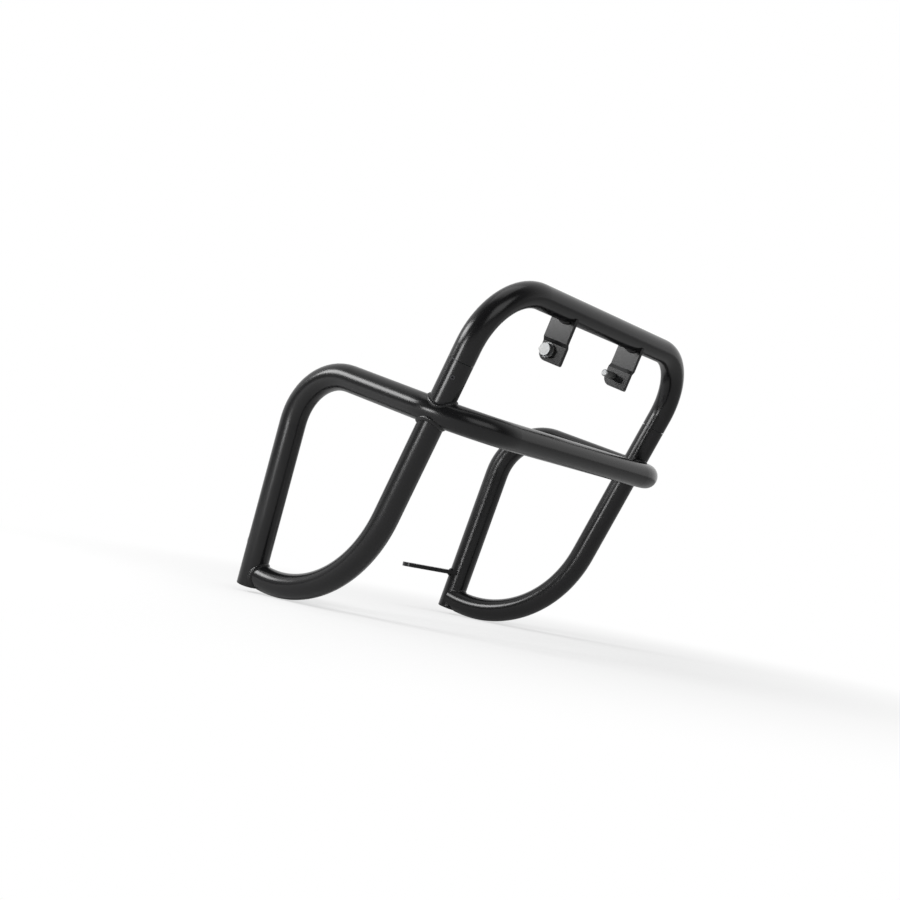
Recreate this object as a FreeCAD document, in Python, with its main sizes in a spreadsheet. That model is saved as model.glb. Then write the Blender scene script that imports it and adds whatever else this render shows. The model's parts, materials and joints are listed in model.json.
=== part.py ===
import FreeCAD, Part
import math
import os
from FreeCAD import Placement, Rotation, Vector

# Engine guard of bent round steel tube for a motorcycle: +X forward, +Y to the rider's left, +Z up.
# The origin lies midway between the two rear bolt holes, on the underside of the rear tabs.
# The right half is modelled (negative Y) and the left half mirrors it.

doc = FreeCAD.newDocument("engine_guard")
sheet = doc.addObject("Spreadsheet::Sheet", "Sizes")

driving_sizes = {
    # tube stock: the tube of the hoop, stubs and loops, and how much thicker the rail is
    "tube_diameter": 27.0,
    "rail_extra": 1.0,
    "rail_diameter": "=tube_diameter + rail_extra",
    "tube_wall": 2.0,
    # corners of the centrelines on one side; the upright's place is taken at the rear tab
    "crossing_x": 252.0,
    "crossing_z": 162.4,
    "crossing_half_width": 199.6,
    "rail_rear_x": 75.5,
    "rail_rear_z": 197.8,
    "rail_rear_half_width": 195.6,
    "rail_front_run": 47.8,
    "hoop_top_x": 303.0,
    "hoop_top_z": 295.5,
    "hoop_top_half_width": 199.0,
    "upright_x": 43.7,
    "upright_half_width": 183.3,
    "loop_drop": 244.0,
    # how far inside the rail's axis the legs and loops pass it, in tube diameters
    "leg_inset_ratio": 0.2075,
    # how far above the foot the loop's axis lands, in tube diameters
    "loop_landing_ratio": 0.46,
    # bend radii of the rail, and the straight runs that the bends of the hoop and the loops leave
    "rail_rear_bend": 62.0,
    "rail_front_bend": 68.0,
    "hoop_leg_run": 16.5,
    "loop_end_run": 4.2,
    # weld beads: radius, and how far they stay from a plate's edges, in tube diameters
    "weld_ratio": 0.1,
    "weld_edge_ratio": 0.16,
    # plugged joint of each leg
    "stub_height": 55.0,
    "joint_gap": 0.8,
    "sleeve_end_clearance": 4.0,
    "sleeve_wall": 2.5,
    "sleeve_clearance": 0.15,
    "joint_screw_height": 39.0,
    "joint_screw_turn": 35.0,
    "joint_screw_diameter": 5.0,
    "joint_screw_length": 8.0,
    "joint_screw_proud": 0.3,
    "joint_screw_socket": 2.5,
    "joint_screw_socket_depth": 3.0,
    "screw_hole_clearance": 0.2,
    # caps in the feet of the uprights
    "cap_flange": 1.6,
    "cap_edge_radius": 1.0,
    "cap_plug_depth": 12.0,
    "cap_clearance": 0.1,
    # lugs under the cross tube, measured from the tube's axis; the joggle lays the bolted end on the frame
    "lug_half_spacing": 67.5,
    "lug_lean": 15.0,
    "lug_thickness": 5.0,
    "lug_front_reach": 12.5,
    "lug_rear_reach": 17.5,
    "lug_length": 58.0,
    "lug_fold_drop": 34.0,
    "lug_fold_run": 4.0,
    "lug_joggle": 2.5,
    "lug_front_corner": 2.0,
    "lug_rear_corner": 10.0,
    "lug_hole_drop": 46.5,
    "lug_hole_setback": 7.5,
    "bolt_hole_diameter": 8.5,
    # bolts of the lugs
    "bolt_diameter": 8.0,
    "bolt_thread_diameter": 7.9,
    "bolt_length": 25.0,
    "bolt_head_flats": 13.0,
    "bolt_head_height": 5.3,
    "bolt_point_chamfer": 1.0,
    "washer_diameter": 16.0,
    "washer_hole_diameter": 8.4,
    "washer_thickness": 1.6,
    # lugs and tabs are notched round their tube up to this far from its axis, in tube diameters
    "plate_notch_ratio": 0.24,
    # tabs on the feet of the uprights
    "tab_rise": 44.0,
    "tab_thickness": 5.0,
    "tab_width": 26.0,
    "tab_corner": 10.0,
    "tab_hole_half_spacing": 140.0,
}
for row, (alias, value) in enumerate(driving_sizes.items(), start=1):
    sheet.set(f"A{row}", alias.replace("_", " "))
    sheet.set(f"B{row}", str(value))
    sheet.setAlias(f"B{row}", alias)
    doc.recompute()


def size(alias):
    """Current value of one cell of the sheet."""
    return float(sheet.get(alias))


def corner(x_alias, half_width_alias, z_alias):
    """A centreline corner of the right side."""
    return Vector(size(x_alias), -size(half_width_alias), size(z_alias))


def unit(vector):
    """The vector scaled to length one."""
    return Vector(vector) / vector.Length


def mirrored(point):
    """The same point on the left side."""
    return Vector(point.x, -point.y, point.z)


def turned_to(axis, along=Vector(1, 0, 0)):
    """A rotation that brings local Z onto axis, with local X as near to along as it can be."""
    return Rotation(Vector(along), Vector(0, 0, 0), Vector(axis), "ZXY")


# Centreline corners, worked out from the sheet
crossing = corner("crossing_x", "crossing_half_width", "crossing_z")
rail_rear = corner("rail_rear_x", "rail_rear_half_width", "rail_rear_z")
hoop_top = corner("hoop_top_x", "hoop_top_half_width", "hoop_top_z")
tab_seat = Vector(size("upright_x"), -size("upright_half_width"), size("tab_thickness") / 2)
rail_axis = unit(crossing - rail_rear)
rail_front = crossing + rail_axis * size("rail_front_run")
upright_axis = unit(rail_rear - tab_seat)
foot = tab_seat - upright_axis * size("tab_rise")
leg_seat = crossing + Vector(0, size("leg_inset_ratio") * size("tube_diameter"), 0)
leg_axis = unit(hoop_top - leg_seat)
leg_joint = leg_seat + leg_axis * size("stub_height")
loop_corner = leg_seat - leg_axis * size("loop_drop")
# the loop's end laps the upright's inner side by its wall, so that the upright closes its bore
loop_lap = size("rail_extra") / 2 + size("tube_wall")
loop_landing = upright_axis * (size("tube_diameter") * size("loop_landing_ratio"))
loop_end = foot + loop_landing + Vector(0, loop_lap, 0)


def tangent_length(before, point, after, radius):
    """How far an arc of the radius starts before the corner that it rounds."""
    return radius / math.tan((before - point).getAngle(after - point) / 2)


def bend_radius(before, point, after, run):
    """The radius that rounds a corner and leaves a straight run on its shorter side."""
    room = min((before - point).Length, (after - point).Length) - run
    return room * math.tan((before - point).getAngle(after - point) / 2)


def bent_line(corners, radii):
    """Straight runs between the corners, joined by tangent arcs of the given radii."""
    edges = []
    start = corners[0]
    for before, point, after, radius in zip(corners, corners[1:], corners[2:], radii):
        back = unit(before - point)
        ahead = unit(after - point)
        tangent = tangent_length(before, point, after, radius)
        middle = unit(back + ahead) * (math.hypot(radius, tangent) - radius)
        arc_start = point + back * tangent
        arc_end = point + ahead * tangent
        edges.append(Part.LineSegment(start, arc_start).toShape())
        edges.append(Part.Arc(arc_start, point + middle, arc_end).toShape())
        start = arc_end
    edges.append(Part.LineSegment(start, corners[-1]).toShape())
    return Part.Wire(edges)


def swept_rod(name, path, diameter_expression):
    """A round rod along a centreline."""
    first = path.Shape.Edges[0]
    section = doc.addObject("Part::Circle", f"{name}_section")
    section.setExpression("Radius", f"({diameter_expression}) / 2")
    start_axis = first.tangentAt(first.FirstParameter)
    section.Placement = Placement(path.Shape.Vertexes[0].Point, turned_to(start_axis))
    sweep = doc.addObject("Part::Sweep", f"{name}_sweep")
    sweep.Sections = [section]
    sweep.Spine = (path, [f"Edge{i + 1}" for i in range(len(path.Shape.Edges))])
    sweep.Solid = True
    return sweep


def cut(name, base, *tools):
    """The base less the tools, one after another."""
    for number, tool in enumerate(tools, start=1):
        step = doc.addObject("Part::Cut", name if number == len(tools) else f"{name}_cut_{number}")
        step.Base = base
        step.Tool = tool
        base = step
    return base


def bent_tube(name, corners, radii, diameter="tube_diameter"):
    """A tube along a bent centreline: returns its outer rod and its bore."""
    path = doc.addObject("Part::Feature", f"{name}_centreline")
    path.Shape = bent_line(corners, radii)
    outer = swept_rod(f"{name}_outer", path, f"Sizes.{diameter}")
    bore = swept_rod(f"{name}_bore", path, f"Sizes.{diameter} - 2 * Sizes.tube_wall")
    return outer, bore


def rod(name, start, axis, radius_expression, length_expression):
    """A straight cylinder that starts at a point and runs along an axis."""
    cylinder = doc.addObject("Part::Cylinder", name)
    cylinder.setExpression("Radius", radius_expression)
    cylinder.setExpression("Height", length_expression)
    cylinder.Placement = Placement(Vector(start), turned_to(axis))
    return cylinder


def half_space(name, point, axis):
    """A wide block with one flat side through the point, on the side that the axis points to."""
    return rod(name, point, axis, "2 * Sizes.tube_diameter", "2 * Sizes.tube_diameter")


seam_steps = 40
touching = 0.05


def saddle_weld(name, main, branch, centre, branch_axis, *tools):
    """A round bead along the seam where a branch tube ends on the main tube.

    A straight probe of the branch's diameter finds the seam on the main tube. The bead runs on past the
    branch's end, and is then trimmed level with it.
    """
    overrun = size("tube_diameter") / 4
    probe_start = centre - branch_axis * overrun
    probe = rod(f"{name}_probe", probe_start, branch_axis,
                "Sizes.tube_diameter / 2", "2 * Sizes.tube_diameter")
    doc.recompute()
    seam = [edge for edge in probe.Shape.section(main.Shape).Edges
            if (edge.CenterOfMass - probe_start).dot(branch_axis) > touching]
    seam_points = Part.Wire(Part.sortEdges(seam)[0]).discretize(Number=seam_steps)
    line = Part.BSplineCurve()
    line.interpolate(seam_points)
    path = doc.addObject("Part::Feature", f"{name}_seam")
    path.Shape = Part.Wire([line.toShape()])
    rope = swept_rod(f"{name}_rope", path, "2 * Sizes.weld_ratio * Sizes.tube_diameter")
    past_end = half_space(f"{name}_past_end", centre, -branch_axis)
    return cut(f"{name}_bead", rope, past_end, main, branch, *tools)


def group(name, items):
    """The items as one group of solids."""
    compound = doc.addObject("Part::Compound", name)
    compound.Links = items
    return compound


def plate_welds(name, diameter, centres, axis, middle, *tools):
    """Beads on both faces of a plate, round the stretch of tube that its notched end holds."""
    half_turn = math.degrees(math.acos(2 * (size("plate_notch_ratio") + size("weld_edge_ratio"))))
    beads = []
    for number, centre in enumerate(centres, start=1):
        ring = doc.addObject("Part::Torus", f"{name}_ring_{number}")
        ring.setExpression("Radius1", f"Sizes.{diameter} / 2")
        ring.setExpression("Radius2", "Sizes.weld_ratio * Sizes.tube_diameter")
        ring.Angle3 = 2 * half_turn
        first = Rotation(axis, -half_turn).multVec(middle)
        ring.Placement = Placement(centre, turned_to(axis, first))
        beads.append(cut(f"{name}_bead_{number}", ring, *tools))
    return group(f"{name}_pair", beads)


def origin_plane(body, role):
    """One of the body's own origin planes or axes."""
    return next(feature for feature in body.Origin.OriginFeatures if feature.Role == role)


parts = {}


def keep(label, item):
    """Names a finished sub-part, which is also its file."""
    item.Label = label
    parts[label] = item
    return item


def keep_both_sides(label, item):
    """Keeps the right-hand sub-part and its mirror image on the left."""
    keep(f"right_{label}", item)
    twin = doc.addObject("Part::Mirroring", f"left_{label}_mirror")
    twin.Source = item
    twin.Normal = Vector(0, 1, 0)
    keep(f"left_{label}", twin)


def keep_pair(label, item):
    """Keeps a fastener and its mirror image as one group of two solids."""
    twin = doc.addObject("Part::Mirroring", f"{label}_mirror")
    twin.Source = item
    twin.Normal = Vector(0, 1, 0)
    keep(label, group(f"{label}_pair", [item, twin]))


# Rail: foot, upright, side and front in one continuous bent tube
rail_corners = [foot, rail_rear, rail_front]
rail_corners += [mirrored(point) for point in reversed(rail_corners)]
rail_radii = [size("rail_rear_bend"), size("rail_front_bend")]
rail_outer, rail_bore = bent_tube("rail", rail_corners, rail_radii + rail_radii[::-1], "rail_diameter")
keep("rail_tube", cut("rail_wall", rail_outer, rail_bore))

# Upper hoop: its legs end at the plugged joints
hoop_start = leg_joint + leg_axis * size("joint_gap")
hoop_corners = [hoop_start, hoop_top, mirrored(hoop_top), mirrored(hoop_start)]
hoop_bend = bend_radius(leg_joint, hoop_top, mirrored(hoop_top), size("hoop_leg_run"))
hoop_outer, hoop_bore = bent_tube("hoop", hoop_corners, [hoop_bend] * 2)
keep("upper_hoop", cut("hoop_wall", hoop_outer, hoop_bore))

# Lower loop: notched round the rail from below, bent rearward, coped to the upright and clear of its cap
loop_arrival = unit(loop_end - loop_corner)
loop_bend = bend_radius(leg_seat, loop_corner, loop_end, size("loop_end_run"))
loop_outer, loop_bore = bent_tube("loop", [leg_seat, loop_corner, loop_end], [loop_bend])
past_foot = foot - upright_axis * size("tube_diameter")
upright_rod = rod("upright_rod", past_foot, upright_axis,
                  "Sizes.rail_diameter / 2", "4 * Sizes.tube_diameter")
keep_both_sides("lower_loop", cut("loop_wall", loop_outer, loop_bore, rail_outer, upright_rod))

# Loop welds: a bead at each end of the loop, the lower one trimmed level with the foot
below_foot = half_space("below_foot", foot, -upright_axis)
loop_top_bead = saddle_weld("loop_top_weld", rail_outer, loop_outer, leg_seat, -leg_axis)
loop_end_bead = saddle_weld("loop_end_weld", upright_rod, loop_outer, loop_end, -loop_arrival, below_foot)
keep_both_sides("loop_welds", group("loop_weld_beads", [loop_top_bead, loop_end_bead]))

# Leg stub: notched round the rail from above, against the loop, and drilled for the joint screw
stub_outer, stub_bore = bent_tube("stub", [leg_seat, leg_joint], [])
screw_turn = Rotation(leg_axis, size("joint_screw_turn"))
outward = unit(Vector(0, -1, 0) - leg_axis * leg_axis.dot(Vector(0, -1, 0)))
screw_axis = screw_turn.multVec(outward)
screw_centre = leg_seat + leg_axis * size("joint_screw_height")
stub_drill = rod("stub_drill", screw_centre, screw_axis,
                 "Sizes.joint_screw_diameter / 2 + Sizes.screw_hole_clearance", "Sizes.tube_diameter")
keep_both_sides("leg_stub", cut("stub_wall", stub_outer, stub_bore, rail_outer, stub_drill))
keep_both_sides("stub_weld", saddle_weld("stub_weld", rail_outer, stub_outer, leg_seat, leg_axis))

# Joint sleeve: plugs into the stub and the hoop's leg, tapped for the joint screw
straight_leg = size("stub_height") + size("hoop_leg_run")
slant = rail_axis.getAngle(leg_axis)
rail_top = (size("rail_diameter") + size("tube_diameter") * abs(math.cos(slant))) / 2 / math.sin(slant)
sleeve_start = leg_seat + leg_axis * (rail_top + size("sleeve_end_clearance"))
sleeve_length = straight_leg - rail_top - 2 * size("sleeve_end_clearance")
sleeve_radius = "Sizes.tube_diameter / 2 - Sizes.tube_wall - Sizes.sleeve_clearance"
sleeve_outer = rod("sleeve_outer", sleeve_start, leg_axis, sleeve_radius, f"{sleeve_length}")
sleeve_bore = rod("sleeve_bore", sleeve_start, leg_axis,
                  f"{sleeve_radius} - Sizes.sleeve_wall", f"{sleeve_length}")
sleeve_drill = rod("sleeve_drill", screw_centre, screw_axis,
                   "Sizes.joint_screw_diameter / 2", "Sizes.tube_diameter")
keep_both_sides("joint_sleeve", cut("sleeve_wall", sleeve_outer, sleeve_bore, sleeve_drill))

# Joint screw: a headless screw with a hexagon socket, a little proud of the stub
screw_tip = screw_centre + screw_axis * (
    size("tube_diameter") / 2 + size("joint_screw_proud") - size("joint_screw_length"))
screw_shank = rod("screw_shank", screw_tip, screw_axis,
                  "Sizes.joint_screw_diameter / 2", "Sizes.joint_screw_length")
screw_socket = doc.addObject("Part::Prism", "screw_socket")
screw_socket.Polygon = 6
screw_socket.setExpression("Circumradius", "Sizes.joint_screw_socket / 2 / cos(30)")
screw_socket.setExpression("Height", "Sizes.joint_screw_socket_depth")
socket_depth = size("joint_screw_length") - size("joint_screw_socket_depth")
screw_socket.Placement = Placement(screw_tip + screw_axis * socket_depth, turned_to(screw_axis))
keep_pair("joint_screws", cut("screw_body", screw_shank, screw_socket))

# Foot cap: a turned plug with a rounded flange that closes the upright
cap = doc.addObject("PartDesign::Body", "cap_body")
cap_profile = cap.newObject("Sketcher::SketchObject", "cap_profile")
cap_profile.AttachmentSupport = (origin_plane(cap, "XZ_Plane"), [""])
cap_profile.MapMode = "FlatFace"
cap_radius = size("rail_diameter") / 2
plug_radius = cap_radius - size("tube_wall") - size("cap_clearance")
flange = size("cap_flange")
rounding = size("cap_edge_radius")
plug_depth = size("cap_plug_depth")
cap_points = [
    Vector(0, -flange, 0),
    Vector(cap_radius - rounding, -flange, 0),
    Vector(cap_radius, rounding - flange, 0),
    Vector(cap_radius, 0, 0),
    Vector(plug_radius, 0, 0),
    Vector(plug_radius, plug_depth, 0),
    Vector(0, plug_depth, 0),
]
for index, (start, end) in enumerate(zip(cap_points, cap_points[1:] + cap_points[:1])):
    if index == 1:
        arc_centre = Vector(cap_radius - rounding, rounding - flange, 0)
        circle = Part.Circle(arc_centre, Vector(0, 0, 1), rounding)
        cap_profile.addGeometry(Part.ArcOfCircle(circle, -math.pi / 2, 0), False)
    else:
        cap_profile.addGeometry(Part.LineSegment(start, end), False)
cap_turn = cap.newObject("PartDesign::Revolution", "cap_turn")
cap_turn.Profile = cap_profile
cap_turn.ReferenceAxis = (cap_profile, ["V_Axis"])
cap_turn.Angle = 360.0
cap.Placement = Placement(foot, turned_to(upright_axis))
keep_both_sides("foot_cap", cap)


def outlined_pad(name, plane, geometry, length_expression):
    """A body padded to both sides of one of its origin planes from a closed outline."""
    body = doc.addObject("PartDesign::Body", f"{name}_body")
    outline = body.newObject("Sketcher::SketchObject", f"{name}_outline")
    outline.AttachmentSupport = (origin_plane(body, plane), [""])
    outline.MapMode = "FlatFace"
    for item in geometry:
        outline.addGeometry(item, False)
    pad = body.newObject("PartDesign::Pad", f"{name}_pad")
    pad.Profile = outline
    pad.setExpression("Length", length_expression)
    pad.Midplane = True
    return body


def rounded_end(front, rear, top, bottom, front_corner, rear_corner):
    """Outline of a strap that hangs down from its top edge, with rounded lower corners."""
    front_centre = Vector(front - front_corner, bottom + front_corner, 0)
    rear_centre = Vector(rear + rear_corner, bottom + rear_corner, 0)
    front_circle = Part.Circle(front_centre, Vector(0, 0, 1), front_corner)
    rear_circle = Part.Circle(rear_centre, Vector(0, 0, 1), rear_corner)
    return [
        Part.LineSegment(Vector(front, top, 0), Vector(rear, top, 0)),
        Part.LineSegment(Vector(rear, top, 0), Vector(rear, bottom + rear_corner, 0)),
        Part.ArcOfCircle(rear_circle, math.pi, 1.5 * math.pi),
        Part.LineSegment(Vector(rear + rear_corner, bottom, 0), Vector(front - front_corner, bottom, 0)),
        Part.ArcOfCircle(front_circle, 1.5 * math.pi, 2 * math.pi),
        Part.LineSegment(Vector(front, bottom + front_corner, 0), Vector(front, top, 0)),
    ]


def polygon(points):
    """Closed outline of straight lines through the points."""
    return [Part.LineSegment(start, end) for start, end in zip(points, points[1:] + points[:1])]


# Upper lug: a strap under the cross tube, joggled above its bolt hole and notched round the tube
lug_half = size("lug_thickness") / 2
lug_top = -size("plate_notch_ratio") * size("tube_diameter")
lug_bottom = -size("lug_length")
fold_top = -size("lug_fold_drop")
fold_bottom = fold_top - size("lug_fold_run")
lug_raised = -lug_half - size("lug_joggle")
lug_lowered = lug_half - size("lug_joggle")
lug_hole = Vector(-size("lug_hole_setback"), -size("lug_hole_drop"), 0)
lug_hole_circle = Part.Circle(lug_hole, Vector(0, 0, 1), size("bolt_hole_diameter") / 2)
lug_face = outlined_pad("lug_face", "XZ_Plane", rounded_end(
    size("lug_front_reach"), -size("lug_rear_reach"), lug_top, lug_bottom,
    size("lug_front_corner"), size("lug_rear_corner")) + [lug_hole_circle],
    "4 * Sizes.lug_thickness")
lug_fold = outlined_pad("lug_fold", "YZ_Plane", polygon([
    Vector(lug_raised, lug_top, 0), Vector(lug_raised, fold_top, 0),
    Vector(-lug_half, fold_bottom, 0), Vector(-lug_half, lug_bottom, 0),
    Vector(lug_half, lug_bottom, 0), Vector(lug_half, fold_bottom, 0),
    Vector(lug_lowered, fold_top, 0), Vector(lug_lowered, lug_top, 0)]),
    "2 * Sizes.lug_front_reach + 2 * Sizes.lug_rear_reach")
lug_lean = Rotation(Vector(0, 1, 0), size("lug_lean"))
lug_place = Placement(Vector(hoop_top.x, -size("lug_half_spacing"), hoop_top.z), lug_lean)
lug_face.Placement = lug_place
lug_fold.Placement = lug_place
lug_strap = doc.addObject("Part::Common", "lug_strap")
lug_strap.Base = lug_face
lug_strap.Tool = lug_fold
lug = cut("lug_notched", lug_strap, hoop_outer)
keep_both_sides("upper_lug", lug)
lug_faces = [lug_place.multVec(Vector(0, across, 0)) for across in (lug_raised, lug_lowered)]
below_tube = lug_lean.multVec(Vector(0, 0, -1))
keep_both_sides("lug_welds", plate_welds(
    "lug_weld", "tube_diameter", lug_faces, Vector(0, 1, 0), below_tube, hoop_outer, lug))

# Upper bolts and washers: the head is outside, the free end of the shank points inward
bolt_face = lug_place.multVec(Vector(lug_hole.x, -lug_half, lug_hole.y))
outside = Vector(0, -1, 0)
washer_disc = rod("washer_disc", bolt_face, outside,
                  "Sizes.washer_diameter / 2", "Sizes.washer_thickness")
washer_hole = rod("washer_hole", bolt_face, outside,
                  "Sizes.washer_hole_diameter / 2", "Sizes.washer_thickness")
keep_pair("upper_washers", cut("washer_ring", washer_disc, washer_hole))

head_seat = bolt_face + outside * size("washer_thickness")
head_hexagon = doc.addObject("Part::Prism", "head_hexagon")
head_hexagon.Polygon = 6
head_hexagon.setExpression("Circumradius", "Sizes.bolt_head_flats / 2 / cos(30)")
head_hexagon.setExpression("Height", "Sizes.bolt_head_height")
head_hexagon.Placement = Placement(head_seat, turned_to(outside))
head_cone = doc.addObject("Part::Cone", "head_cone")
head_cone.setExpression("Radius1", "Sizes.bolt_head_flats / 2 + Sizes.bolt_head_height * tan(60)")
head_cone.setExpression("Radius2", "Sizes.bolt_head_flats / 2")
head_cone.setExpression("Height", "Sizes.bolt_head_height")
head_cone.Placement = head_hexagon.Placement
head = doc.addObject("Part::Common", "bolt_head")
head.Base = head_hexagon
head.Tool = head_cone
shank_rod = rod("shank_rod", head_seat, -outside, "Sizes.bolt_diameter / 2",
                "Sizes.washer_thickness + Sizes.lug_thickness")
thread_rod = rod("thread_rod", head_seat, -outside, "Sizes.bolt_thread_diameter / 2",
                 "Sizes.bolt_length - Sizes.bolt_point_chamfer")
shank_point = doc.addObject("Part::Cone", "shank_point")
shank_point.setExpression("Radius1", "Sizes.bolt_thread_diameter / 2")
shank_point.setExpression("Radius2", "Sizes.bolt_thread_diameter / 2 - Sizes.bolt_point_chamfer")
shank_point.setExpression("Height", "Sizes.bolt_point_chamfer")
point_start = head_seat - outside * (size("bolt_length") - size("bolt_point_chamfer"))
shank_point.Placement = Placement(point_start, turned_to(-outside))
bolt = doc.addObject("Part::MultiFuse", "bolt_fused")
bolt.Shapes = [head, shank_rod, thread_rod, shank_point]
keep_pair("upper_bolts", bolt)

# Rear tab: a flat plate from the upright inward and rearward, notched round the tube, with the rear bolt hole
tab_half_width = size("tab_width") / 2
tab_arm = Vector(-tab_seat.x, -size("tab_hole_half_spacing") - tab_seat.y, 0)
tab_hole = Vector(0, -tab_arm.Length, 0)
tab_hole_circle = Part.Circle(tab_hole, Vector(0, 0, 1), size("bolt_hole_diameter") / 2)
tab_top = -size("plate_notch_ratio") * size("rail_diameter")
tab_plate = outlined_pad("tab_plate", "XZ_Plane", rounded_end(
    tab_half_width, -tab_half_width, tab_top, tab_hole.y - tab_half_width,
    size("tab_corner"), size("tab_corner")) + [tab_hole_circle], "Sizes.tab_thickness")
tab_plate.Placement = Placement(tab_seat, turned_to(-tab_arm, tab_arm.cross(Vector(0, 0, 1))))
tab = cut("tab_notched", tab_plate, rail_outer)
keep_both_sides("rear_tab", tab)
tab_half = upright_axis * (size("tab_thickness") / 2 / upright_axis.z)
tab_faces = [tab_seat - tab_half, tab_seat + tab_half]
keep_both_sides("tab_welds", plate_welds(
    "tab_weld", "rail_diameter", tab_faces, Vector(0, 0, 1), unit(tab_arm), rail_outer, tab))

doc.recompute()

failed = [item.Name for item in doc.Objects if "Invalid" in item.State or "Error" in item.State]
for label, item in parts.items():
    if item.Shape.isNull() or not item.Shape.isValid():
        failed.append(label)
if failed:
    raise RuntimeError("failed objects: " + ", ".join(failed))

os.makedirs("parts", exist_ok=True)
for label, item in parts.items():
    item.Shape.exportStep(f"parts/{label}.step")
    print(label, len(item.Shape.Solids), "solids", round(item.Shape.Volume, 1), "mm3")
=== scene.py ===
import json
import math

import bmesh
import bpy
from mathutils import Matrix, Vector


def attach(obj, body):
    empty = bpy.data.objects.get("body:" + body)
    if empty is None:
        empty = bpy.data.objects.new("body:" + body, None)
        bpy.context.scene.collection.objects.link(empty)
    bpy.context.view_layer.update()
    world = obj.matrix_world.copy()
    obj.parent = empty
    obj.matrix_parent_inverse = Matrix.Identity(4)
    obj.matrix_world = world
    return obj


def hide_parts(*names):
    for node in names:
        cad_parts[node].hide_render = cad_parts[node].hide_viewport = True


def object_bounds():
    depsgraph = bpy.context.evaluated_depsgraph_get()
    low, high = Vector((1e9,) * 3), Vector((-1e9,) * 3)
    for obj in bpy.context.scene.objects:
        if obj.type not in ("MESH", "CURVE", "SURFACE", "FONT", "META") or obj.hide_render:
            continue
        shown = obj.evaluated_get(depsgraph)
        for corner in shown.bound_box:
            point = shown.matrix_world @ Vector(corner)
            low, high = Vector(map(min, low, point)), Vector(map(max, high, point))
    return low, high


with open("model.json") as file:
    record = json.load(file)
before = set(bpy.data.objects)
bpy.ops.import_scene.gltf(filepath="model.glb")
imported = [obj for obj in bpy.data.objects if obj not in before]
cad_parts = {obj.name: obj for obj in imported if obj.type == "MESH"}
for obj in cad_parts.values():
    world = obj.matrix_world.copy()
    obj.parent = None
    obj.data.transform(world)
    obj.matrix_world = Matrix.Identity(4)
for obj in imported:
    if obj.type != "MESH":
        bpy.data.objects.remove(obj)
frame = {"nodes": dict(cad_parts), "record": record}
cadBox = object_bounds()
guardNodes = frame["nodes"]
bpy.ops.object.select_all(action="DESELECT")
print("guard loaded:", len(guardNodes), "nodes")

# lines of the right-hand tubes in the row frame, in metres
guardLines = {
    "crossing": Vector((0.252, -0.1996, 0.1624)),   # side rail where the leg and the loop meet it
    "railRear": Vector((0.0755, -0.1956, 0.1978)),
    "hoopTop": Vector((0.303, -0.199, 0.2955)),
    "tabSeat": Vector((0.0437, -0.1833, 0.0025)),
    "tabHole": Vector((0.0, -0.140, 0.0025)),
    "railRadius": 0.014,
    "tubeRadius": 0.0135,
    "legInset": 0.0056,     # leg and loop pass this far inside the rail's axis
    "footDrop": 0.044,      # tab seat down to the cut foot
    "loopDrop": 0.244,      # leg seat down the leg's line to the loop's corner
    "loopLanding": 0.0124,  # foot up to the loop's axis
    "loopLap": 0.0025,      # loop's end past the upright's axis, inward
}
legSeat = guardLines["crossing"] + Vector((0, guardLines["legInset"], 0))
railAxis = (guardLines["crossing"] - guardLines["railRear"]).normalized()
legAxis = (guardLines["hoopTop"] - legSeat).normalized()
uprightAxis = (guardLines["railRear"] - guardLines["tabSeat"]).normalized()
footEnd = guardLines["tabSeat"] - uprightAxis * guardLines["footDrop"]
loopEnd = footEnd + uprightAxis * guardLines["loopLanding"] + Vector((0, guardLines["loopLap"], 0))
loopCorner = legSeat - legAxis * guardLines["loopDrop"]
loopArrival = (loopEnd - loopCorner).normalized()

beadMesh = {
    "mergeDistance": 0.00001,
    "smoothAngle": math.radians(60),
}


def selectOnly(piece):
    bpy.ops.object.select_all(action="DESELECT")
    piece.select_set(True)
    bpy.context.view_layer.objects.active = piece


def startEdit(piece):
    selectOnly(piece)
    bpy.ops.object.mode_set(mode="EDIT")
    return bmesh.from_edit_mesh(piece.data)


def endEdit():
    bpy.ops.object.mode_set(mode="OBJECT")


def pickVerts(mesh, wanted):
    bpy.ops.mesh.select_all(action="DESELECT")
    for vert in mesh.verts:
        vert.select = wanted(vert)
    mesh.select_flush(True)


def pickRings(ringOf, wanted):
    bpy.ops.mesh.select_all(action="DESELECT")
    for ring in wanted:
        for vert in ringOf[ring]:
            vert.select = True


def settle(piece):
    # place into the mesh, doubles merged, faces outward
    selectOnly(piece)
    bpy.ops.object.transform_apply(location=True, rotation=True, scale=True)
    startEdit(piece)
    bpy.ops.mesh.select_all(action="SELECT")
    bpy.ops.mesh.remove_doubles(threshold=beadMesh["mergeDistance"])
    bpy.ops.mesh.normals_make_consistent(inside=False)
    endEdit()
    bpy.ops.object.shade_smooth_by_angle(angle=beadMesh["smoothAngle"])
    return piece


def mirroredCopy(piece, name):
    selectOnly(piece)
    bpy.ops.object.duplicate(linked=False)
    twin = bpy.context.object
    twin.name = name
    twin.scale = (1, -1, 1)
    return settle(twin)


def joinPieces(pieces, name):
    selectOnly(pieces[0])
    for piece in pieces[1:]:
        piece.select_set(True)
    bpy.ops.object.join()
    pieces[0].name = name
    return pieces[0]


# weld beads where a tube is coped to another: a rippled ring laid into the seam
saddleBead = {
    "radius": 0.0036,
    "sink": 0.0016,        # how deep the bead's middle lies in the corner
    "rings": 168,
    "sides": 14,
    "taper": 7,            # rings over which an open end runs into the tubes
    "ripple": 0.00022,     # how far a ripple stands out
    "ripplePitch": 4,      # rings from one ripple to the next
    "reach": 0.06,         # how far up the branch the seam is looked for
}


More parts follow.
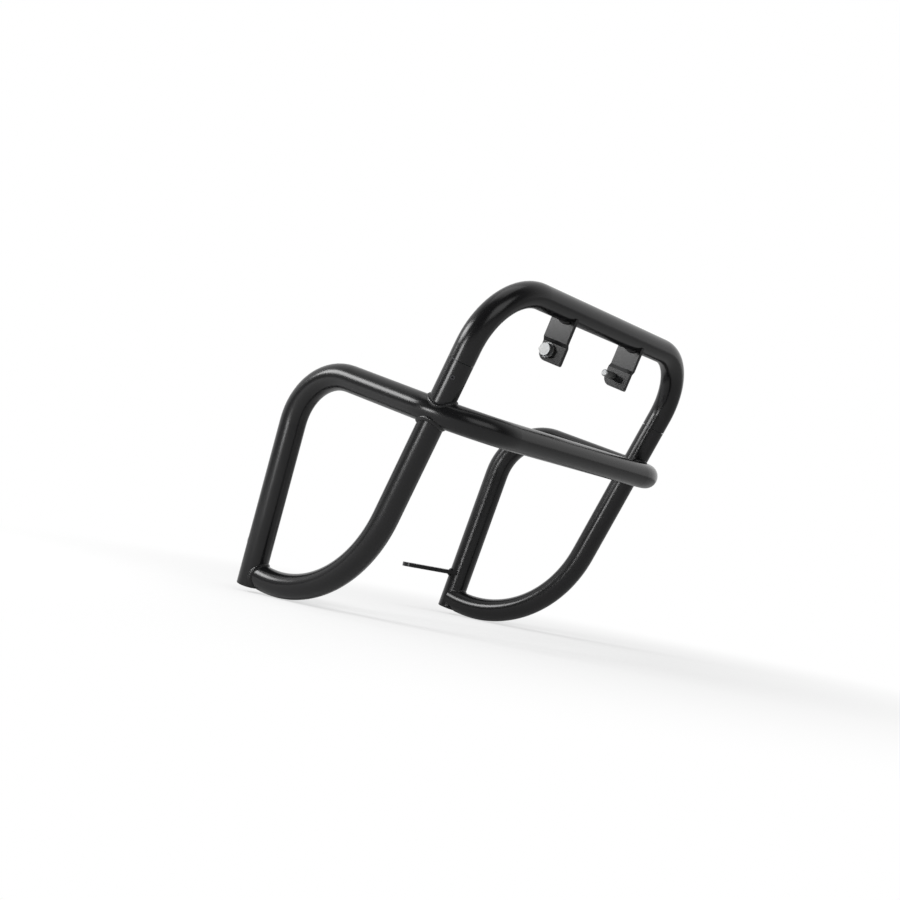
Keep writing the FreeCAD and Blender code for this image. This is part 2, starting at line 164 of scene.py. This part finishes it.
def findSeam(mainTube, centre, turn, branchAxis):
    # for each ring: the step along the branch to the seam, and the way into the corner
    intoTube = mainTube.matrix_world.inverted()
    seam = {}
    for ring in range(saddleBead["rings"]):
        angle = math.tau * ring / saddleBead["rings"]
        radial = turn @ Vector((math.cos(angle), math.sin(angle), 0))
        onBranch = centre + radial * guardLines["tubeRadius"]
        begin = onBranch + branchAxis * saddleBead["reach"]
        found, place, normal, _ = mainTube.ray_cast(
            intoTube @ begin, intoTube.to_3x3() @ -branchAxis,
            distance=saddleBead["reach"] + saddleBead["radius"])     # the near side only
        if found:
            place = mainTube.matrix_world @ place
            normal = (mainTube.matrix_world.to_3x3() @ normal).normalized()
            seam[ring] = (place - onBranch, -(normal + radial).normalized())
    return seam


def sinkIntoSeam(seam):
    # shift of each ring, deeper where the bead runs out
    rings = saddleBead["rings"]
    bareRings = [ring for ring in range(rings) if ring not in seam]
    shifts = {}
    for ring, (lift, inward) in seam.items():
        gap = min((min((ring - bare) % rings, (bare - ring) % rings) for bare in bareRings), default=rings)
        sunk = max(0, 1 - (gap - 1) / saddleBead["taper"]) ** 2
        shifts[ring] = lift + inward * (saddleBead["sink"] + sunk * saddleBead["radius"])
    return shifts


def makeSaddleBead(name, mainTube, centre, mainAxis, branchAxis):
    rings = saddleBead["rings"]
    bpy.ops.object.select_all(action="DESELECT")
    bpy.ops.mesh.primitive_torus_add(
        major_segments=rings, minor_segments=saddleBead["sides"],
        major_radius=guardLines["tubeRadius"], minor_radius=saddleBead["radius"])
    bead = bpy.context.object
    bead.name = name
    ahead = (mainAxis - branchAxis * branchAxis.dot(mainAxis)).normalized()
    turn = Matrix((ahead, branchAxis.cross(ahead), branchAxis)).transposed()
    shifts = sinkIntoSeam(findSeam(mainTube, centre, turn, branchAxis))
    mesh = startEdit(bead)
    ringOf = {}
    for vert in mesh.verts:
        place = math.atan2(vert.co.y, vert.co.x) / math.tau * rings
        ringOf.setdefault(round(place) % rings, []).append(vert)
    for ring, shift in shifts.items():
        pickRings(ringOf, [ring])
        bpy.ops.transform.translate(value=turn.transposed() @ shift)   # ring into the corner
    pickRings(ringOf, [ring for ring in shifts if ring % saddleBead["ripplePitch"] == 0])
    bpy.ops.transform.shrink_fatten(value=saddleBead["ripple"])
    pickRings(ringOf, [ring for ring in ringOf if ring not in shifts])
    bpy.ops.mesh.delete(type="VERT")       # no tube under these
    bpy.ops.mesh.select_all(action="SELECT")
    bpy.ops.mesh.fill_holes(sides=0)
    endEdit()
    bead.matrix_world = Matrix.Translation(centre) @ turn.to_4x4()
    return settle(bead)


def trimAt(piece, point, axis):
    # cut off what lies beyond the point along the axis
    startEdit(piece)
    bpy.ops.mesh.select_all(action="SELECT")
    bpy.ops.mesh.bisect(plane_co=point, plane_no=axis, use_fill=True, clear_outer=True)
    endEdit()
    return piece


railTube = guardNodes["rail_tube"]
stubBead = makeSaddleBead("rightStubBead", railTube, legSeat, railAxis, legAxis)
loopTopBead = makeSaddleBead("loopTopBead", railTube, legSeat, railAxis, -legAxis)
loopEndBead = makeSaddleBead("loopEndBead", railTube, loopEnd, uprightAxis, -loopArrival)
trimAt(loopEndBead, footEnd, -uprightAxis)
loopBeads = joinPieces([loopTopBead, loopEndBead], "rightLoopBeads")
print("saddle beads made")

# weld beads where a plate is notched round a tube: a rippled arc along each face
plateBead = {
    "radius": 0.0034,
    "sink": 0.0014,
    "sides": 14,
    "steps": 36,
    "ripple": 0.0002,
    "ripplePitch": 3,
    "endDraw": 1 / 3,                         # share of the radius by which the ends are drawn in
    "lugLean": math.radians(15),
    "lugTurn": math.radians(32),              # half of the bead's length round the tube
    "tabTurn": math.radians(24),
    "lugFaces": {-0.0725: -1, -0.0675: 1},    # y of the lug's two faces, and which way they look
    "tabFaces": {0.0: -1, 0.005: 1},          # z of the tab's two faces
}


def makePlateBead(name, centre, tube, axis, faceWay, middle, halfTurn):
    deep = plateBead["sink"] / math.sqrt(2)
    startWay = Matrix.Rotation(-halfTurn, 3, axis) @ middle
    tangent = axis.cross(startWay)
    bpy.ops.object.select_all(action="DESELECT")
    bpy.ops.mesh.primitive_circle_add(
        vertices=plateBead["sides"], radius=plateBead["radius"],
        location=centre + startWay * (tube - deep) - axis * (faceWay * deep),
        rotation=tangent.to_track_quat("Z", "Y").to_euler())
    bead = bpy.context.object
    bead.name = name
    bpy.ops.object.transform_apply(location=True, rotation=True, scale=True)
    startEdit(bead)
    bpy.ops.mesh.select_all(action="SELECT")
    bpy.ops.mesh.spin(
        steps=plateBead["steps"], angle=-2 * halfTurn,     # spin turns against Matrix.Rotation
        center=centre, axis=axis)
    bpy.ops.mesh.select_all(action="SELECT")
    bpy.ops.mesh.fill_holes(sides=0)
    bpy.ops.mesh.normals_make_consistent(inside=False)
    mesh = bmesh.from_edit_mesh(bead.data)

    def stepOf(vert):
        arm = (vert.co - centre) - axis * axis.dot(vert.co - centre)
        return round(startWay.angle(arm) / (2 * halfTurn) * plateBead["steps"])

    pickVerts(mesh, lambda vert: stepOf(vert) % plateBead["ripplePitch"] == 1)
    bpy.ops.transform.shrink_fatten(value=plateBead["ripple"])
    pickVerts(mesh, lambda vert: stepOf(vert) in (0, plateBead["steps"]))
    bpy.ops.transform.shrink_fatten(value=-plateBead["radius"] * plateBead["endDraw"])     # softer ends
    endEdit()
    return settle(bead)


downLug = Matrix.Rotation(plateBead["lugLean"], 3, "Y") @ Vector((0, 0, -1))
lugBeads = []
for place, faceWay in plateBead["lugFaces"].items():
    onTube = Vector((guardLines["hoopTop"].x, place, guardLines["hoopTop"].z))
    lugBeads.append(makePlateBead(
        "lugBead", onTube, guardLines["tubeRadius"], Vector((0, 1, 0)), faceWay, downLug,
        plateBead["lugTurn"]))
lugBeads = joinPieces(lugBeads, "rightLugBeads")
alongTab = (guardLines["tabHole"] - guardLines["tabSeat"]).normalized()
tabBeads = []
for height, faceWay in plateBead["tabFaces"].items():
    rise = (height - guardLines["tabSeat"].z) / uprightAxis.z
    onUpright = guardLines["tabSeat"] + uprightAxis * rise
    tabBeads.append(makePlateBead(
        "tabBead", onUpright, guardLines["railRadius"], Vector((0, 0, 1)), faceWay, alongTab,
        plateBead["tabTurn"]))
tabBeads = joinPieces(tabBeads, "rightTabBeads")
print("plate beads made")

beadNodes = {
    "stub_weld": stubBead,
    "loop_welds": loopBeads,
    "lug_welds": lugBeads,
    "tab_welds": tabBeads,
}
coatedPieces = []
for node, bead in beadNodes.items():
    twin = mirroredCopy(bead, bead.name.replace("right", "left"))
    for side, piece in (("right", bead), ("left", twin)):
        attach(piece, "root")
        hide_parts(f"{side}_{node}")
        coatedPieces.append(piece)
print("beads on both sides:", len(coatedPieces))


# finishes
def newMaterial(name):
    material = bpy.data.materials.new(name)
    material.use_nodes = True
    nodes = material.node_tree.nodes
    return material, nodes, material.node_tree.links, nodes["Principled BSDF"]


grainLook = {
    "grainDetail": 2.0,
    "blotchDetail": 4.0,
    "blotchFrom": 0.3,     # noise values spread over the whole change of tone
    "blotchTo": 0.7,
}


def makeGrainGroup():
    # grain: fine lumps of a coat or casting; blotch: slow change over the piece
    group = bpy.data.node_groups.new("surfaceGrain", "ShaderNodeTree")
    sockets = group.interface
    sockets.new_socket("grainScale", in_out="INPUT", socket_type="NodeSocketFloat")
    sockets.new_socket("blotchScale", in_out="INPUT", socket_type="NodeSocketFloat")
    sockets.new_socket("grain", in_out="OUTPUT", socket_type="NodeSocketFloat")
    sockets.new_socket("blotch", in_out="OUTPUT", socket_type="NodeSocketFloat")
    nodes, links = group.nodes, group.links
    groupIn = nodes.new("NodeGroupInput")
    groupOut = nodes.new("NodeGroupOutput")
    place = nodes.new("ShaderNodeTexCoord")
    lumps = nodes.new("ShaderNodeTexNoise")
    lumps.inputs["Detail"].default_value = grainLook["grainDetail"]
    drift = nodes.new("ShaderNodeTexNoise")
    drift.inputs["Detail"].default_value = grainLook["blotchDetail"]
    spread = nodes.new("ShaderNodeMapRange")
    spread.inputs["From Min"].default_value = grainLook["blotchFrom"]
    spread.inputs["From Max"].default_value = grainLook["blotchTo"]
    for noise, scale in ((lumps, "grainScale"), (drift, "blotchScale")):
        links.new(place.outputs["Object"], noise.inputs["Vector"])
        links.new(groupIn.outputs[scale], noise.inputs["Scale"])
    links.new(lumps.outputs["Fac"], groupOut.inputs["grain"])
    links.new(drift.outputs["Fac"], spread.inputs["Value"])
    links.new(spread.outputs["Result"], groupOut.inputs["blotch"])
    return group


grainGroup = makeGrainGroup()


def makeFinish(look):
    material, nodes, links, shader = newMaterial(look["name"])
    grain = nodes.new("ShaderNodeGroup")
    grain.node_tree = grainGroup
    grain.inputs["grainScale"].default_value = look["grainScale"]
    grain.inputs["blotchScale"].default_value = look["blotchScale"]
    tone = nodes.new("ShaderNodeMix")
    tone.data_type = "RGBA"
    tone.inputs["A"].default_value = (*look["colours"][0], 1)
    tone.inputs["B"].default_value = (*look["colours"][1], 1)
    gloss = nodes.new("ShaderNodeMapRange")
    gloss.inputs["To Min"].default_value = look["roughness"][0]
    gloss.inputs["To Max"].default_value = look["roughness"][1]
    bump = nodes.new("ShaderNodeBump")
    bump.inputs["Strength"].default_value = look["bump"]
    bump.inputs["Distance"].default_value = look["bumpDepth"]
    links.new(grain.outputs["blotch"], tone.inputs["Factor"])
    links.new(tone.outputs["Result"], shader.inputs["Base Color"])
    links.new(grain.outputs["blotch"], gloss.inputs["Value"])
    links.new(gloss.outputs["Result"], shader.inputs["Roughness"])
    links.new(grain.outputs["grain"], bump.inputs["Height"])
    links.new(bump.outputs["Normal"], shader.inputs["Normal"])
    shader.inputs["Metallic"].default_value = look["metallic"]
    shader.inputs["Specular IOR Level"].default_value = look["specular"]
    return material


blackCoat = makeFinish({
    "name": "blackCoat",
    "colours": ((0.003, 0.003, 0.0033), (0.005, 0.005, 0.0054)),
    "roughness": (0.20, 0.28),
    "grainScale": 900, "blotchScale": 9,
    "bump": 0.03, "bumpDepth": 0.0003,
    "metallic": 0.0, "specular": 0.32,
})
zincPlate = makeFinish({
    "name": "zincPlate",
    "colours": ((0.20, 0.205, 0.21), (0.28, 0.28, 0.275)),
    "roughness": (0.44, 0.56),
    "grainScale": 1400, "blotchScale": 120,
    "bump": 0.08, "bumpDepth": 0.0003,
    "metallic": 1.0, "specular": 0.5,
})
# black-oxide steel for the joint screws; on the joint sleeves the same dark colour is painted shade, so
# the thin gap between the tube ends reads dark
blackOxideAndGapShade = makeFinish({
    "name": "blackOxideAndGapShade",
    "colours": ((0.035, 0.035, 0.038), (0.07, 0.07, 0.075)),
    "roughness": (0.35, 0.5),
    "grainScale": 1200, "blotchScale": 60,
    "bump": 0.1, "bumpDepth": 0.0003,
    "metallic": 1.0, "specular": 0.5,
})
capPlastic = makeFinish({
    "name": "capPlastic",
    "colours": ((0.009, 0.009, 0.009), (0.014, 0.014, 0.014)),
    "roughness": (0.48, 0.60),
    "grainScale": 2200, "blotchScale": 40,
    "bump": 0.2, "bumpDepth": 0.0003,
    "metallic": 0.0, "specular": 0.25,
})
finishes = {
    "black_coat": blackCoat,
    "zinc_steel": zincPlate,
    "dark_steel": blackOxideAndGapShade,
    "cap_plastic": capPlastic,
}


def paint(piece, material):
    if not piece.material_slots:
        piece.data.materials.append(material)
    for slot in piece.material_slots:
        slot.material = material


for part in frame["record"]["subparts"]:
    paint(guardNodes[part["node"]], finishes[part["material_slot"]])
for piece in coatedPieces:
    paint(piece, blackCoat)
print("finishes set:", ", ".join(finishes))

# camera at the photograph's angle
photoView = {
    "place": (1.10607, -1.29495, 0.04519),
    "right": (0.79202, 0.58362, 0.17914),
    "up": (-0.10805, -0.15479, 0.98202),
    "sensor": 36,      # mm
    "lens": 57.6,
}
viewRight = Vector(photoView["right"]).normalized()
viewUp = Vector(photoView["up"]).normalized()
viewBack = viewRight.cross(viewUp)
viewTurn = Matrix((viewRight, viewUp, viewBack)).transposed()
bpy.ops.object.camera_add(location=photoView["place"], rotation=viewTurn.to_euler())
camera = bpy.context.object
camera.data.sensor_width = photoView["sensor"]
camera.data.lens = photoView["lens"]
bpy.context.scene.camera = camera

# pale floor just under the guard, fading to plain white away from it
floorLook = {
    "size": 14,
    "drop": 0.0005,
    "colour": (0.82, 0.82, 0.82, 1),
    "roughness": 0.9,
    "fadeNear": 0.6,     # share of plain white beside the guard
    "fadeFrom": 0.22,
    "fadeTo": 0.80,
}


def makeFloorPaint(centre):
    material, nodes, links, shader = newMaterial("studioFloor")
    shader.inputs["Base Color"].default_value = floorLook["colour"]
    shader.inputs["Roughness"].default_value = floorLook["roughness"]
    shader.inputs["Specular IOR Level"].default_value = 0.0
    white = nodes.new("ShaderNodeEmission")
    blend = nodes.new("ShaderNodeMixShader")
    spot = nodes.new("ShaderNodeTexCoord")
    reach = nodes.new("ShaderNodeVectorMath")
    reach.operation = "DISTANCE"
    reach.inputs[1].default_value = (centre.x, centre.y, 0)
    fade = nodes.new("ShaderNodeMapRange")
    fade.interpolation_type = "SMOOTHSTEP"
    fade.inputs["To Min"].default_value = floorLook["fadeNear"]
    fade.inputs["From Min"].default_value = floorLook["fadeFrom"]
    fade.inputs["From Max"].default_value = floorLook["fadeTo"]
    path = nodes.new("ShaderNodeLightPath")
    seen = nodes.new("ShaderNodeMath")
    seen.operation = "MULTIPLY"
    links.new(spot.outputs["Object"], reach.inputs[0])
    links.new(reach.outputs["Value"], fade.inputs["Value"])
    links.new(fade.outputs["Result"], seen.inputs[0])
    links.new(path.outputs["Is Camera Ray"], seen.inputs[1])
    links.new(seen.outputs["Value"], blend.inputs["Fac"])
    links.new(shader.outputs["BSDF"], blend.inputs[1])
    links.new(white.outputs["Emission"], blend.inputs[2])
    links.new(blend.outputs["Shader"], nodes["Material Output"].inputs["Surface"])
    return material


low, high = cadBox
middle = (low + high) / 2
bpy.ops.mesh.primitive_plane_add(size=floorLook["size"], location=(0, 0, low.z - floorLook["drop"]))
floor = bpy.context.object
floor.name = "studioFloor"
floor.data.materials.append(makeFloorPaint(middle))

# white backdrop where it is seen or mirrored behind the guard, a dimmer room in front, dim fill light
worldLook = {
    "fill": 0.40,
    "room": 0.08,
    "roomTo": -0.35,      # along the way to the backdrop: the room ends here
    "backdropFrom": 0.45,
}


def makeStudioWorld(toBackdrop):
    world = bpy.data.worlds.new("studioWorld")
    world.use_nodes = True
    nodes, links = world.node_tree.nodes, world.node_tree.links
    background = nodes["Background"]
    background.inputs["Color"].default_value = (1, 1, 1, 1)
    path = nodes.new("ShaderNodeLightPath")
    heading = nodes.new("ShaderNodeTexCoord")
    along = nodes.new("ShaderNodeVectorMath")
    along.operation = "DOT_PRODUCT"
    along.inputs[1].default_value = toBackdrop
    mirrored = nodes.new("ShaderNodeMapRange")
    mirrored.interpolation_type = "SMOOTHSTEP"
    mirrored.inputs["From Min"].default_value = worldLook["roomTo"]
    mirrored.inputs["From Max"].default_value = worldLook["backdropFrom"]
    mirrored.inputs["To Min"].default_value = worldLook["room"]
    lighting = nodes.new("ShaderNodeMix")
    lighting.inputs["A"].default_value = worldLook["fill"]
    seen = nodes.new("ShaderNodeMath")
    seen.operation = "MAXIMUM"
    strength = nodes.new("ShaderNodeMix")
    strength.inputs["B"].default_value = 1.0
    links.new(heading.outputs["Generated"], along.inputs[0])
    links.new(along.outputs["Value"], mirrored.inputs["Value"])
    links.new(path.outputs["Is Glossy Ray"], lighting.inputs["Factor"])
    links.new(mirrored.outputs["Result"], lighting.inputs["B"])
    links.new(path.outputs["Is Camera Ray"], seen.inputs[0])
    links.new(path.outputs["Is Transmission Ray"], seen.inputs[1])
    links.new(seen.outputs["Value"], strength.inputs["Factor"])
    links.new(lighting.outputs["Result"], strength.inputs["A"])
    links.new(strength.outputs["Result"], background.inputs["Strength"])
    return world


bpy.context.scene.world = makeStudioWorld(-viewBack)

# softboxes, placed by how the camera sees them: right, up, and back towards the camera
softboxes = {
    "railSoftbox": {"way": (-0.79, 0.58, 0.21), "distance": 1.4, "size": (0.75, 0.42), "watts": 15},
    "legSoftbox": {"way": (-0.65, -0.05, 0.76), "distance": 1.5, "size": (0.40, 0.85), "watts": 22},
    "topSoftbox": {"way": (0.1, 0.98, 0.1), "distance": 1.6, "size": (1.2, 1.0), "watts": 5},
    "frontSoftbox": {"way": (0.6, 0.3, 0.74), "distance": 2.2, "size": (1.4, 1.0), "watts": 9},
}
for name, box in softboxes.items():
    right, up, back = box["way"]
    way = (viewRight * right + viewUp * up + viewBack * back).normalized()
    bpy.ops.object.light_add(
        type="AREA", location=middle + way * box["distance"],
        rotation=way.to_track_quat("Z", "Y").to_euler())
    lamp = bpy.context.object
    lamp.name = name
    lamp.data.shape = "RECTANGLE"
    lamp.data.size, lamp.data.size_y = box["size"]
    lamp.data.energy = box["watts"]
bpy.context.scene.view_settings.view_transform = "Standard"
print("studio set:", ", ".join(softboxes))
